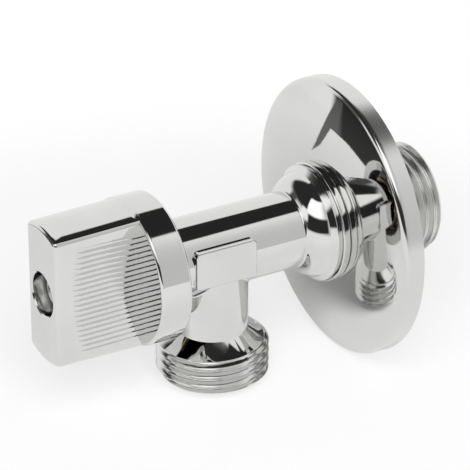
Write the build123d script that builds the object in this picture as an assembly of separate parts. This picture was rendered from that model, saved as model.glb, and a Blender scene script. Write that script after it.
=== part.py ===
from build123d import *
import math
import os

# A chromed quarter-turn angle valve with its wall rosette, in millimetres.
# +Z is up and the outlet points down. The inlet runs along Y: the wall face is the plane y = 0,
# the threaded tail reaches into the wall towards +Y, and the handle faces -Y.

# Pipe threads, the same size on the inlet tail and on the outlet
THREAD_D = 20.955  # major diameter of a half-inch parallel pipe thread
INLET_REACH = 14.4  # end of the tail, behind the wall face
INLET_THREAD_LEAD_IN = 0.5  # the full thread starts this far in front of the wall face
INLET_END_CHAMFER = 1.0
OUTLET_END_CHAMFER = 0.4
OUTLET_THREAD_LENGTH = 6.2
THREAD_RUNOUT = 1.3  # 45 degree cone at the start of the outlet thread

# Valve body
OUTLET_FROM_WALL = 29.0  # outlet axis, in front of the wall face
OUTLET_DROP = 24.55  # outlet end, below the inlet axis
OUTLET_BORE_D = 9.5
NECK_WALL = 1.88
NECK_BLEND = 1.0  # fillet between the neck and the tube
SHOULDER_SLOPE = 26.0  # degrees, from the neck down to the outlet thread
FRONT_REACH = 13.0  # front end of the tube, in front of the outlet axis
TUBE_WALL = 1.18  # round the headwork thread
SEAT_REACH = 10.2  # sealing seat, behind the outlet axis
SEAT_BORE_D = 7.0
SEAT_LAND = 6.0  # length of the narrow bore behind the seat
TAIL_BORE_D = 10.0
TAIL_SHANK_D = 18.4  # plain shank between the flange and the thread
FLANGE_COVER = 0.5  # the flange overlaps the edge of the rosette's hole by this
FLANGE_WIDTH = 1.5
FLANGE_EDGE = 0.25
GROOVE_WIDTH = 0.4
GROOVE_DEPTH = 0.4
RIDGE_WIDTH = 0.6  # narrow ridge in front of the groove
RIDGE_STEP = 0.35  # the ridge lies this much inside the flange's rim
RIDGE_CONE = 0.85  # length of the cone that leads from the bulge up to the ridge
BULGE_STEP = 1.35  # the bulge ends this much inside the flange's rim
BULGE_FOOT = 0.6  # radius of the hollow curve where the bulge leaves the tube
BULGE_START_SLOPE = 54.0  # degrees, where the hollow curve meets the crown
BULGE_END_SLOPE = 17.0  # degrees, where the crown meets the cone
PAD_LENGTH = 12.5  # flat boss on the side of the body
PAD_HEIGHT = 7.4
PAD_PROUD = 0.42
PAD_SHIFT_Y = -1.1
PAD_SHIFT_Z = 0.4
PAD_CORNER = 0.9
PAD_EDGE = 0.25

# Wall rosette, pressed from sheet
ROSETTE_D = 52.5
ROSETTE_SHEET = 0.7
DOME_RISE = 2.6
SKIRT_DEPTH = 3.6
RIM_ROUND = 1.2  # outer radius of the bend between dome and skirt
ROSETTE_HOLE_CLEARANCE = 0.32  # round the inlet thread
ROSETTE_SEAT_GAP = 0.05

# Headwork: a brass barrel that screws into the tube and carries the spindle and the discs
HEADWORK_THREAD_D = 12.0
HEADWORK_THREAD_LENGTH = 5.0
BARREL_D = 11.0
BARREL_POCKET_D = 9.6
BARREL_END_GAP = 0.6
HEXAGON_WIDTH = 15.0
HEXAGON_HEIGHT = 2.3
GASKET_THICKNESS = 0.5
WINDOW_LENGTH = 7.0
WINDOW_WIDTH = 6.4
STOP_DEPTH = 1.2
STOP_RADIUS = 5.4
STOP_LUG_WIDTH = 40.0  # degrees
STOP_SLACK = 2.0  # degrees, at each end of the travel
QUARTER_TURN = 90.0  # degrees, from open to closed

# Spindle, its rings and its washer
SPINDLE_D = 8.1
SPINDLE_COLLAR_D = 9.3
SPINDLE_COLLAR_HEIGHT = 1.3
SPINDLE_WAIST_D = 4.2
SPINDLE_COLLAR_SETBACK = 0.6  # from the front edge of the windows
O_RING_SECTION = 1.24
O_RING_GROOVE_WIDTH = 1.6
CLIP_THICKNESS = 0.55
CLIP_GAP = 0.05
CLIP_D = 10.0
CLIP_OPENING = 70.0  # degrees
CLIP_GROOVE_DEPTH = 0.7
WASHER_THICKNESS = 0.4
DRIVE_BAR_WIDTH = 3.2
DRIVE_BAR_HEIGHT = 1.6  # in front of the moving disc
SPLINE_TEETH = 20
SPLINE_D = 8.0
SPLINE_TOOTH_DEPTH = 0.4
SPLINE_REACH = 10.2  # tip of the spindle, in front of the handle's floor

# Ceramic discs and seal
DISC_D = 9.4
MOVING_DISC_THICKNESS = 2.3
FIXED_DISC_THICKNESS = 2.3
DRIVE_SLOT_DEPTH = 0.9
PORT_INNER_D = 4.4
PORT_OUTER_D = 8.0
PORT_WIDTH = 66.0  # degrees
DISC_EAR_WIDTH = 2.4
DISC_EAR_SETBACK = 0.15  # the ears end this far inside the barrel's outside
SEAL_THICKNESS = 2.0
SEAL_BORE_D = 7.6

# Handle: a round collar with a flat-sided paddle in front of it
COLLAR_D = 27.5
COLLAR_WALL = 1.0  # between the collar's front face and its hollow
COLLAR_HOLLOW_D = 21.2
COLLAR_HOLLOW_DEPTH = 5.15
PADDLE_LENGTH = 16.85
PADDLE_FRONT_D = 26.8
PADDLE_THICKNESS = 10.9
PADDLE_INSET = 0.06  # the paddle's root lies this far inside the collar's round
PADDLE_EDGE = 1.0  # fillet along the paddle's four long edges
PADDLE_FRONT_EDGE = 0.8
COLLAR_RIM = 0.6
COLLAR_REAR_EDGE = 0.5
CREASE_BLEND = 0.3  # hollow curve where the flats meet the collar
SCREW_RECESS_D = 8.2
SCREW_RECESS_EDGE = 0.25
SCREW_SEAT_WALL = 2.5  # between the screw head and the spline socket
SOCKET_END_GAP = 0.2

# Grip grooves on the paddle's flats
GRIP_PITCH = 1.04
GRIP_CUTTER_D = 1.2
GRIP_DEPTH = 0.22
GRIP_EDGE_MARGIN = 2.3  # smooth band along the flat's top and bottom edges
GRIP_FRONT_MARGIN = 2.2  # smooth band behind the front edge, at mid-height
GRIP_FRONT_ARC = 1.2  # the outermost grooves start this much further back
GRIP_FADE = 4.0  # length of each groove's tapering front end
GRIP_REAR_MARGIN = 0.35

# Handle screw
SCREW_D = 4.0
SCREW_LENGTH = 10.0
SCREW_HEAD_D = 7.0
SCREW_HEAD_HEIGHT = 2.6
SCREW_HEAD_ROUND = 0.9
SCREW_CROSS_LENGTH = 4.2
SCREW_CROSS_WIDTH = 0.9
SCREW_CROSS_DEPTH = 1.5
SCREW_TIP_GAP = 0.7

# Clearances
FIXED_FIT = 0.05  # radial, between pieces that stay put
RUNNING_FIT = 0.05  # radial, between the turning spindle and the barrel
FACE_GAP = 0.03  # between flat faces that slide on each other
FLOOR_GAP = 0.2  # between the retaining clip and the handle's floor
CUT_MARGIN = 1.0  # how far a cutting tool stands past the face it cuts

# Radii and places that follow from the sizes above
thread_r = THREAD_D / 2
outlet_y = -OUTLET_FROM_WALL
body_front = outlet_y - FRONT_REACH
tube_bore_r = HEADWORK_THREAD_D / 2 + FIXED_FIT
tube_r = tube_bore_r + TUBE_WALL
chamber_r = BARREL_D / 2 + FIXED_FIT
neck_r = OUTLET_BORE_D / 2 + NECK_WALL
seat_y = outlet_y + SEAT_REACH

rosette_hole_r = thread_r + ROSETTE_HOLE_CLEARANCE
rosette_front = -(SKIRT_DEPTH + DOME_RISE)
flange_rear = rosette_front - ROSETTE_SEAT_GAP
flange_r = rosette_hole_r + FLANGE_COVER
flange_front = flange_rear - FLANGE_WIDTH
ridge_rear = flange_front - GROOVE_WIDTH
ridge_front = ridge_rear - RIDGE_WIDTH
ridge_r = flange_r - RIDGE_STEP
bulge_end = ridge_front - RIDGE_CONE
bulge_r = flange_r - BULGE_STEP

hexagon_rear = body_front - GASKET_THICKNESS
hexagon_front = hexagon_rear - HEXAGON_HEIGHT
barrel_end = seat_y - BARREL_END_GAP
spindle_bore_r = SPINDLE_D / 2 + RUNNING_FIT
window_front = outlet_y - WINDOW_LENGTH / 2
spindle_collar_rear = window_front - SPINDLE_COLLAR_SETBACK
spindle_collar_front = spindle_collar_rear - SPINDLE_COLLAR_HEIGHT
washer_rear = spindle_collar_front - FACE_GAP
washer_front = washer_rear - WASHER_THICKNESS
pocket_front = washer_front - FACE_GAP

seal_front = seat_y - SEAL_THICKNESS
fixed_disc_front = seal_front - FIXED_DISC_THICKNESS
moving_disc_rear = fixed_disc_front - FACE_GAP
moving_disc_front = moving_disc_rear - MOVING_DISC_THICKNESS
drive_bar_end = moving_disc_front + DRIVE_SLOT_DEPTH - FACE_GAP
drive_bar_front = moving_disc_front - DRIVE_BAR_HEIGHT

clip_rear = hexagon_front - CLIP_GAP
clip_front = clip_rear - CLIP_THICKNESS
handle_floor = clip_front - FLOOR_GAP
collar_rear = handle_floor + COLLAR_HOLLOW_DEPTH
collar_front = handle_floor - COLLAR_WALL
handle_front = collar_front - PADDLE_LENGTH
spindle_tip = handle_floor - SPLINE_REACH
socket_end = spindle_tip - SOCKET_END_GAP
screw_seat = socket_end - SCREW_SEAT_WALL
screw_tip = screw_seat + SCREW_LENGTH


def turned(*corners):
    """A solid turned about the inlet axis, from (radius, y) corners."""
    return revolve(make_face(Polyline(*corners, close=True)), Axis.Y)


def ring(inner_r, outer_r, start, end):
    """A plain ring or rod round the inlet axis."""
    return turned((inner_r, start), (outer_r, start), (outer_r, end), (inner_r, end))


def slab(sketch, start, end):
    """A sketch drawn as seen from the front, given thickness from start to end along Y."""
    return extrude(Plane.XZ.offset(-end) * sketch, end - start)


def at_angle(radius, degrees):
    """A point of the front view, with degrees counted from +X towards +Z."""
    angle = math.radians(degrees)
    return (radius * math.cos(angle), radius * math.sin(angle))


def sector(outer_r, middle, width):
    """A slice of a disc in the front view, centred on the angle middle."""
    half = width / 2
    reach = (outer_r + CUT_MARGIN) / math.cos(math.radians(half))
    wedge = Polyline((0, 0), at_angle(reach, middle - half), at_angle(reach, middle + half), close=True)
    return Circle(outer_r) & make_face(wedge)


def spline_outline(allowance):
    """Outline of the toothed spindle end, grown by an allowance for the socket."""
    tip = SPLINE_D / 2 + allowance
    root = tip - SPLINE_TOOTH_DEPTH
    pitch = 360 / SPLINE_TEETH
    slack = math.degrees(allowance / tip)
    crest = pitch / 6 + slack
    foot = pitch / 3 + slack
    points = []
    for tooth in range(SPLINE_TEETH):
        middle = tooth * pitch
        points.append(at_angle(root, middle - foot))
        points.append(at_angle(tip, middle - crest))
        points.append(at_angle(tip, middle + crest))
        points.append(at_angle(root, middle + foot))
    return make_face(Polyline(*points, close=True))


def bulge_curve():
    """The hollow foot and the round crown that lead from the tube out to the ridge."""
    start = math.radians(BULGE_START_SLOPE)
    end = math.radians(BULGE_END_SLOPE)
    foot_rise = BULGE_FOOT * (1 - math.cos(start))
    crown = (bulge_r - tube_r - foot_rise) / (math.cos(end) - math.cos(start))
    join_y = bulge_end - crown * (math.sin(start) - math.sin(end))
    foot_y = join_y - BULGE_FOOT * math.sin(start)

    def on_foot(slope):
        return (tube_r + BULGE_FOOT * (1 - math.cos(slope)), foot_y + BULGE_FOOT * math.sin(slope))

    def on_crown(slope):
        rise = crown * (math.cos(slope) - math.cos(start))
        return (tube_r + foot_rise + rise, join_y + crown * (math.sin(start) - math.sin(slope)))

    foot = ThreePointArc(on_foot(0), on_foot(start / 2), on_foot(start))
    dome = ThreePointArc(on_crown(start), on_crown((start + end) / 2), on_crown(end))
    return foot, dome


def tail_and_tube():
    """The turned outside of the body: tube, bulge, ridge, flange, shank and inlet thread."""
    foot, dome = bulge_curve()
    shank_r = TAIL_SHANK_D / 2
    groove_r = ridge_r - GROOVE_DEPTH
    thread_start = -INLET_THREAD_LEAD_IN
    front = Polyline((0, body_front), (tube_r, body_front), foot @ 0)
    rear = Polyline(
        dome @ 1,
        (ridge_r, ridge_front),
        (ridge_r, ridge_rear),
        (groove_r, ridge_rear),
        (groove_r, flange_front),
        (flange_r - FLANGE_EDGE, flange_front),
        (flange_r, flange_front + FLANGE_EDGE),
        (flange_r, flange_rear - FLANGE_EDGE),
        (flange_r - FLANGE_EDGE, flange_rear),
        (shank_r, flange_rear),
        (shank_r, thread_start - (thread_r - shank_r)),
        (thread_r, thread_start),
        (thread_r, INLET_REACH - INLET_END_CHAMFER),
        (thread_r - INLET_END_CHAMFER, INLET_REACH),
        (0, INLET_REACH),
        (0, body_front),
    )
    return revolve(make_face(Curve() + [front, foot, dome, rear]), Axis.Y)


def outlet_neck():
    """The neck, its sloping shoulder and the outlet thread, turned about the outlet axis."""
    runout_r = thread_r - THREAD_RUNOUT
    thread_top = OUTLET_THREAD_LENGTH - OUTLET_DROP
    shoulder_foot = thread_top + THREAD_RUNOUT
    shoulder_top = shoulder_foot + (runout_r - neck_r) * math.tan(math.radians(SHOULDER_SLOPE))
    corners = Polyline(
        (0, 0),
        (neck_r, 0),
        (neck_r, shoulder_top),
        (runout_r, shoulder_foot),
        (thread_r, thread_top),
        (thread_r, OUTLET_END_CHAMFER - OUTLET_DROP),
        (thread_r - OUTLET_END_CHAMFER, -OUTLET_DROP),
        (0, -OUTLET_DROP),
        close=True,
    )
    return Pos(0, outlet_y, 0) * revolve(Plane.XZ * make_face(corners), Axis.Z)


def side_pad():
    """The flat boss with rounded corners on the side of the tube."""
    depth = tube_r + PAD_PROUD
    pad = Box(depth, PAD_LENGTH, PAD_HEIGHT, align=(Align.MIN, Align.CENTER, Align.CENTER))
    pad = fillet(pad.edges().filter_by(Axis.X), PAD_CORNER)
    pad = fillet(pad.faces().sort_by(Axis.X)[-1].edges(), PAD_EDGE)
    return Pos(0, outlet_y + PAD_SHIFT_Y, PAD_SHIFT_Z) * pad


def valve_body():
    """The one-piece body, with its waterways and the chamber for the headwork."""
    tube = tail_and_tube()
    neck = outlet_neck()
    body = tube + neck
    body = fillet(new_edges(tube, neck, combined=body), NECK_BLEND)
    body += side_pad()
    thread_end = body_front + HEADWORK_THREAD_LENGTH
    tail_bore_start = seat_y + SEAT_LAND
    body -= turned(
        (0, body_front),
        (tube_bore_r, body_front),
        (tube_bore_r, thread_end),
        (chamber_r, thread_end),
        (chamber_r, seat_y),
        (SEAT_BORE_D / 2, seat_y),
        (SEAT_BORE_D / 2, tail_bore_start),
        (TAIL_BORE_D / 2, tail_bore_start + (TAIL_BORE_D - SEAT_BORE_D) / 2),
        (TAIL_BORE_D / 2, INLET_REACH),
        (0, INLET_REACH),
    )
    waterway = Cylinder(OUTLET_BORE_D / 2, OUTLET_DROP, align=(Align.CENTER, Align.CENTER, Align.MAX))
    return body - Pos(0, outlet_y, 0) * waterway


def wall_rosette():
    """A shallow pressed dome with a skirt, and a plain hole for the inlet tail."""
    rim_r = ROSETTE_D / 2
    run = rim_r - rosette_hole_r
    radius = (run**2 + DOME_RISE**2) / (2 * DOME_RISE)
    centre_y = rosette_front + radius

    def dome(sheet, outer_r):
        def point(r):
            return (r, centre_y - math.sqrt((radius - sheet) ** 2 - (r - rosette_hole_r) ** 2))

        return ThreePointArc(point(rosette_hole_r), point((rosette_hole_r + outer_r) / 2), point(outer_r))

    front = dome(0, rim_r)
    back = dome(ROSETTE_SHEET, rim_r - ROSETTE_SHEET)
    skirt = Polyline(front @ 1, (rim_r, 0), (rim_r - ROSETTE_SHEET, 0), back @ 1)
    section = make_face(Curve() + [front, skirt, back, Line(back @ 0, front @ 0)])
    outer_bend = section.vertices().sort_by_distance(front @ 1)[0]
    section = fillet(outer_bend, RIM_ROUND)
    inner_bend = section.vertices().sort_by_distance(back @ 1)[0]
    section = fillet(inner_bend, max(RIM_ROUND - ROSETTE_SHEET, ROSETTE_SHEET / 4))
    return revolve(section, Axis.Y)


def paddle():
    """The flat-sided paddle, tapering forward, with a root that reaches back into the collar."""
    root_r = COLLAR_D / 2 - PADDLE_INSET
    root_end = collar_rear - 2 * COLLAR_REAR_EDGE
    blank = turned(
        (0, handle_front),
        (PADDLE_FRONT_D / 2, handle_front),
        (root_r, collar_front),
        (root_r, root_end),
        (0, root_end),
    )
    blank &= Pos(0, collar_front, 0) * Box(PADDLE_THICKNESS, 4 * PADDLE_LENGTH, 2 * COLLAR_D)
    flats = blank.faces().filter_by(Axis.X)
    long_edges = flats.edges().filter_by(Axis.Z, reverse=True)
    blank = fillet(long_edges, PADDLE_EDGE)
    return fillet(blank.faces().sort_by(Axis.Y)[0].edges(), PADDLE_FRONT_EDGE)


def collar():
    """The round collar behind the paddle, with its rim and rear edge rounded over."""
    blank = ring(0, COLLAR_D / 2, collar_front, collar_rear)
    blank = fillet(blank.edges().sort_by(Axis.Y)[0], COLLAR_RIM)
    return fillet(blank.edges().sort_by(Axis.Y)[-1], COLLAR_REAR_EDGE)


def handle_outside():
    """Paddle and collar as one casting, with a small hollow curve where the flats meet the collar."""
    blank = paddle() + collar()
    upright = blank.edges().filter_by(Axis.Z)
    creases = upright.filter_by_position(Axis.Y, collar_front - FACE_GAP, collar_front + FACE_GAP)
    return fillet(creases, CREASE_BLEND)


def grip_cutters():
    """Rows of slim round cutters for both flats, tapering out towards the front."""
    cutter_r = GRIP_CUTTER_D / 2
    flat_half = math.sqrt((PADDLE_FRONT_D / 2) ** 2 - (PADDLE_THICKNESS / 2) ** 2)
    reach = flat_half - GRIP_EDGE_MARGIN
    count = int(2 * reach / GRIP_PITCH) + 1
    cutters = []
    for index in range(count):
        height = (index - (count - 1) / 2) * GRIP_PITCH
        groove_front = handle_front + GRIP_FRONT_MARGIN + GRIP_FRONT_ARC * (height / reach) ** 2
        tip = groove_front - GRIP_FADE * (1 - GRIP_DEPTH / cutter_r)
        end = collar_front - GRIP_REAR_MARGIN
        cutter = turned((0, tip), (cutter_r, tip + GRIP_FADE), (cutter_r, end), (0, end))
        offset = PADDLE_THICKNESS / 2 + cutter_r - GRIP_DEPTH
        cutters.append(Pos(offset, 0, height) * cutter)
        cutters.append(Pos(-offset, 0, height) * cutter)
    return cutters


def handle():
    """The cast handle, with its grip grooves, hollow collar, spline socket and screw recess."""
    body = handle_outside() - grip_cutters()
    recess_r = SCREW_RECESS_D / 2
    body -= ring(0, COLLAR_HOLLOW_D / 2, handle_floor, collar_rear)
    body -= slab(spline_outline(FIXED_FIT), socket_end, handle_floor)
    body -= ring(0, SCREW_D / 2 + FIXED_FIT, screw_seat, socket_end)
    return body - turned(
        (0, handle_front),
        (recess_r + SCREW_RECESS_EDGE, handle_front),
        (recess_r, handle_front + SCREW_RECESS_EDGE),
        (recess_r, screw_seat),
        (0, screw_seat),
    )


def handle_screw():
    """A cross-recessed pan-head screw that holds the handle on the spindle."""
    head_front = screw_seat - SCREW_HEAD_HEIGHT
    head = ring(0, SCREW_HEAD_D / 2, head_front, screw_seat)
    head = fillet(head.edges().sort_by(Axis.Y)[0], SCREW_HEAD_ROUND)
    screw = head + ring(0, SCREW_D / 2, screw_seat, screw_tip)
    bar = Rectangle(SCREW_CROSS_LENGTH, SCREW_CROSS_WIDTH)
    cross = bar + Rot(Z=90) * bar
    return screw - slab(cross, head_front, head_front + SCREW_CROSS_DEPTH)


def headwork_body():
    """The headwork barrel: hexagon, thread, spindle bore, stop recess, windows and disc pocket."""
    hexagon = RegularPolygon(HEXAGON_WIDTH / 2, 6, major_radius=False)
    thread_end = body_front + HEADWORK_THREAD_LENGTH - FIXED_FIT
    pocket_r = BARREL_POCKET_D / 2
    barrel = slab(hexagon, hexagon_front, hexagon_rear)
    barrel += ring(0, HEADWORK_THREAD_D / 2, hexagon_rear, thread_end)
    barrel += ring(0, BARREL_D / 2, thread_end, barrel_end)
    barrel -= ring(0, spindle_bore_r, hexagon_front, pocket_front)
    barrel -= ring(0, pocket_r, pocket_front, barrel_end)
    travel = QUARTER_TURN + STOP_LUG_WIDTH + 2 * STOP_SLACK
    stop_recess = sector(STOP_RADIUS, 90, travel)
    barrel -= slab(stop_recess, hexagon_front, hexagon_front + STOP_DEPTH)
    barrel -= Pos(0, outlet_y, 0) * Box(WINDOW_WIDTH, WINDOW_LENGTH, 2 * BARREL_D)
    ear_slot = Rectangle(2 * BARREL_D, DISC_EAR_WIDTH + 2 * FIXED_FIT)
    return barrel - slab(ear_slot, fixed_disc_front, barrel_end)


def headwork_gasket():
    """The flat ring under the hexagon."""
    return ring(HEADWORK_THREAD_D / 2 + FIXED_FIT, tube_r, hexagon_rear + FACE_GAP, body_front - FACE_GAP)


def o_ring_places():
    """The middles of the two ring grooves, evenly spaced along the spindle bore."""
    bore_start = hexagon_front + STOP_DEPTH
    step = (pocket_front - bore_start) / 3
    return (bore_start + step, bore_start + 2 * step)


def o_ring(place):
    """A rubber ring in its groove on the spindle."""
    ring_r = spindle_bore_r - RUNNING_FIT - O_RING_SECTION / 2
    return Pos(0, place, 0) * Rot(X=90) * Torus(ring_r, O_RING_SECTION / 2)


def spindle():
    """The turned spindle: spline, clip groove, stop lug, ring grooves, collar, waist and drive bar."""
    shaft_r = SPINDLE_D / 2
    stem = slab(spline_outline(0), spindle_tip, handle_floor)
    stem += ring(0, shaft_r, handle_floor, spindle_collar_front)
    stem += ring(0, SPINDLE_COLLAR_D / 2, spindle_collar_front, spindle_collar_rear)
    stem += ring(0, SPINDLE_WAIST_D / 2, spindle_collar_rear, drive_bar_front)
    lug = sector(STOP_RADIUS - FIXED_FIT, 90 + QUARTER_TURN / 2, STOP_LUG_WIDTH)
    stem += slab(lug, hexagon_front + FACE_GAP, hexagon_front + STOP_DEPTH - FACE_GAP)
    bar = Circle(DISC_D / 2) & Rectangle(DISC_D, DRIVE_BAR_WIDTH)
    stem += slab(bar, drive_bar_front, drive_bar_end)
    groove_r = shaft_r - O_RING_SECTION - FIXED_FIT
    for place in o_ring_places():
        stem -= ring(groove_r, shaft_r, place - O_RING_GROOVE_WIDTH / 2, place + O_RING_GROOVE_WIDTH / 2)
    stem -= ring(shaft_r - CLIP_GROOVE_DEPTH, shaft_r, clip_front - FACE_GAP, clip_rear + FACE_GAP)
    return stem - ring(0, SCREW_D / 2 + FIXED_FIT, spindle_tip, screw_tip + SCREW_TIP_GAP)


def retaining_clip():
    """The open spring clip that keeps the spindle from dropping back into the barrel."""
    inner_r = SPINDLE_D / 2 - CLIP_GROOVE_DEPTH + FIXED_FIT
    outline = Circle(CLIP_D / 2) - Circle(inner_r) - sector(CLIP_D, 270, CLIP_OPENING)
    return slab(outline, clip_front, clip_rear)


def thrust_washer():
    """The low-friction washer between the spindle's collar and the barrel."""
    return ring(SPINDLE_D / 2 + FIXED_FIT, SPINDLE_COLLAR_D / 2, washer_front, washer_rear)


def ported_disc(start, end):
    """A ceramic disc with two opposite ports, above and below its middle."""
    blank = Circle(DISC_D / 2)
    for middle in (90, 270):
        blank -= sector(PORT_OUTER_D / 2, middle, PORT_WIDTH) - Circle(PORT_INNER_D / 2)
    return slab(blank, start, end)


def moving_ceramic_disc():
    """The disc that the spindle turns, with a slot across its front for the drive bar."""
    disc = ported_disc(moving_disc_front, moving_disc_rear)
    slot = Rectangle(2 * DISC_D, DRIVE_BAR_WIDTH + 2 * FIXED_FIT)
    return disc - slab(slot, moving_disc_front, moving_disc_front + DRIVE_SLOT_DEPTH)


def fixed_ceramic_disc():
    """The disc that stays still, with two ears that sit in the barrel's slots."""
    disc = ported_disc(fixed_disc_front, seal_front)
    ear_r = BARREL_D / 2 - DISC_EAR_SETBACK
    ears = (Circle(ear_r) - Circle(PORT_OUTER_D / 2)) & Rectangle(2 * ear_r, DISC_EAR_WIDTH)
    return disc + slab(ears, fixed_disc_front + FIXED_FIT, seal_front)


def seat_seal():
    """The rubber seal between the fixed disc and the seat in the body."""
    return ring(SEAL_BORE_D / 2, DISC_D / 2, seal_front + FACE_GAP, seat_y - FACE_GAP)


def main():
    front_ring, rear_ring = o_ring_places()
    pieces = {
        "valve_body": valve_body(),
        "wall_rosette": wall_rosette(),
        "handle": handle(),
        "handle_screw": handle_screw(),
        "headwork_body": headwork_body(),
        "headwork_gasket": headwork_gasket(),
        "spindle": spindle(),
        "spindle_o_ring_front": o_ring(front_ring),
        "spindle_o_ring_rear": o_ring(rear_ring),
        "retaining_clip": retaining_clip(),
        "thrust_washer": thrust_washer(),
        "moving_ceramic_disc": moving_ceramic_disc(),
        "fixed_ceramic_disc": fixed_ceramic_disc(),
        "seat_seal": seat_seal(),
    }
    os.makedirs("parts", exist_ok=True)
    for name, piece in pieces.items():
        export_step(piece, f"parts/{name}.step")


main()
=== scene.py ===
import math
from functools import partial

import bmesh
import bpy
from bpy.props import FloatProperty, FloatVectorProperty, IntProperty, PointerProperty
from bpy.types import Operator, Panel, PropertyGroup
from mathutils import Matrix, Vector


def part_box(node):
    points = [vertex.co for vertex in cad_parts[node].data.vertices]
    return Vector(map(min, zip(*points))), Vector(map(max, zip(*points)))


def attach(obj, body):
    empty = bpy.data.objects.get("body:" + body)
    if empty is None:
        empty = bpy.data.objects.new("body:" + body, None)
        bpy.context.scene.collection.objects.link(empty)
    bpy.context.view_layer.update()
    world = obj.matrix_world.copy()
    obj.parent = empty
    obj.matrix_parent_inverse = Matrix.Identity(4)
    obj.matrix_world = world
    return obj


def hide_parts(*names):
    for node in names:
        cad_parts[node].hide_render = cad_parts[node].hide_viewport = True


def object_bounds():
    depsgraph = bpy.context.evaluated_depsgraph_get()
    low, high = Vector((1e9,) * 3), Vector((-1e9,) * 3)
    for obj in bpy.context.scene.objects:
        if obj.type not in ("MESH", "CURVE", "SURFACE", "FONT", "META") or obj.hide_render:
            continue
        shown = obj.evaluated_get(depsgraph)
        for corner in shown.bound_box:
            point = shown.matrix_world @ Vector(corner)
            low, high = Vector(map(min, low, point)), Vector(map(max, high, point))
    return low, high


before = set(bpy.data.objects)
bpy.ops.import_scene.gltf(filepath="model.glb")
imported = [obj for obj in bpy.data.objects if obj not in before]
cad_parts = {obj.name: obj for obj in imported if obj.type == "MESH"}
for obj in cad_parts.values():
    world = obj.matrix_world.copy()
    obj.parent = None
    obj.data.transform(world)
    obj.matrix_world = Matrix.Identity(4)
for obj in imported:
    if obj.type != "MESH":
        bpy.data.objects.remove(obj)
cad_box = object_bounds()

bl_info = {
    "name": "Angle valve",
    "version": (1, 0, 0),
    "blender": (4, 5, 0),
    "location": "View3D > Sidebar > Valve",
    "description": "Dresses a chromed angle valve: threads, body, rosette, handle, headwork and studio",
    "category": "Object",
}

MM = 0.001

# Outer limits of the pieces, read from the solids
BODY_LOW, BODY_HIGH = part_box("valve_body")
ROSETTE_LOW, ROSETTE_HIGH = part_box("wall_rosette")
HANDLE_LOW, HANDLE_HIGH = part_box("handle")

# Mesh fineness
TURN_SEGMENTS = 192
SMALL_TURN_SEGMENTS = 96
SHARP_ANGLE = math.radians(28)
POLE_RADIUS = 1e-7
WELD = 2e-6
OVERSHOOT = 1.0 * MM  # a cutting tool stands this far past the face it cuts
COLUMN_SHARES = (-1.0, -0.88, -0.66, -0.4, -0.14, 0.14, 0.4, 0.66, 0.88, 1.0)  # mesh columns across a groove

# Valve body
OUTLET_Y = -29.0 * MM
TUBE_R = 7.23 * MM
NECK_R = 6.63 * MM
THREAD_R = 20.955 / 2 * MM
SHANK_R = 9.2 * MM
FLANGE_R = BODY_HIGH.x
FLANGE_REAR = -6.25 * MM
FLANGE_FRONT = FLANGE_REAR - 1.5 * MM
FLANGE_EDGE = 0.25 * MM
RIDGE_R = FLANGE_R - 0.35 * MM
RIDGE_REAR = FLANGE_FRONT - 0.4 * MM
RIDGE_FRONT = RIDGE_REAR - 0.6 * MM
RIDGE_EDGE = 0.12 * MM
RIDGE_START = -50  # degrees, where the cone meets the ridge's rounded edge
GROOVE_R = RIDGE_R - 0.4 * MM
BULGE_R = FLANGE_R - 1.35 * MM
BULGE_REAR = RIDGE_FRONT - 0.85 * MM
BULGE_FOOT = 0.6 * MM
BULGE_START = 54  # degrees, where the hollow foot meets the crown
BULGE_END = 17  # degrees, where the crown meets the cone
INLET_THREAD_START = -0.5 * MM
INLET_CHAMFER = 1.0 * MM
INLET_CUT_START = -3.0 * MM
OUTLET_THREAD_TOP = BODY_LOW.z + 6.2 * MM
OUTLET_CHAMFER = 0.4 * MM
OUTLET_CUT_MARGIN = 1.6 * MM
CREST_CUT = 0.12  # share of the smooth wave that is cut off at the crests and the roots
SHOULDER_TOP = OUTLET_THREAD_TOP + 2.54 * MM
SHOULDER_WIDTH = 1.8 * MM
SHOULDER_SLOPE = math.radians(40)
NECK_BLEND = 1.0 * MM
BLEND_SINK = 0.01 * MM
PAD_CENTRE_Y = OUTLET_Y - 1.1 * MM
PAD_CENTRE_Z = 0.4 * MM
PAD_LENGTH = 12.5 * MM
PAD_HEIGHT = 7.4 * MM
PAD_FACE = TUBE_R + 0.42 * MM
PAD_CORNER = 0.9 * MM
PAD_EDGE = 0.25 * MM

# Waterways
TUBE_BORE_R = 6.05 * MM
TUBE_BORE_END = BODY_LOW.y + 5.0 * MM
CHAMBER_R = 5.55 * MM
SEAT_Y = OUTLET_Y + 10.2 * MM
SEAT_R = 3.5 * MM
SEAT_END = SEAT_Y + 6.0 * MM
TAIL_BORE_R = 5.0 * MM
OUTLET_BORE_R = 4.75 * MM

# Wall rosette
ROSETTE_R = ROSETTE_HIGH.x
ROSETTE_HOLE_R = THREAD_R + 0.32 * MM
ROSETTE_SHEET = 0.7 * MM
DOME_RISE = 2.6 * MM
RIM_ROUND = 1.2 * MM

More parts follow.
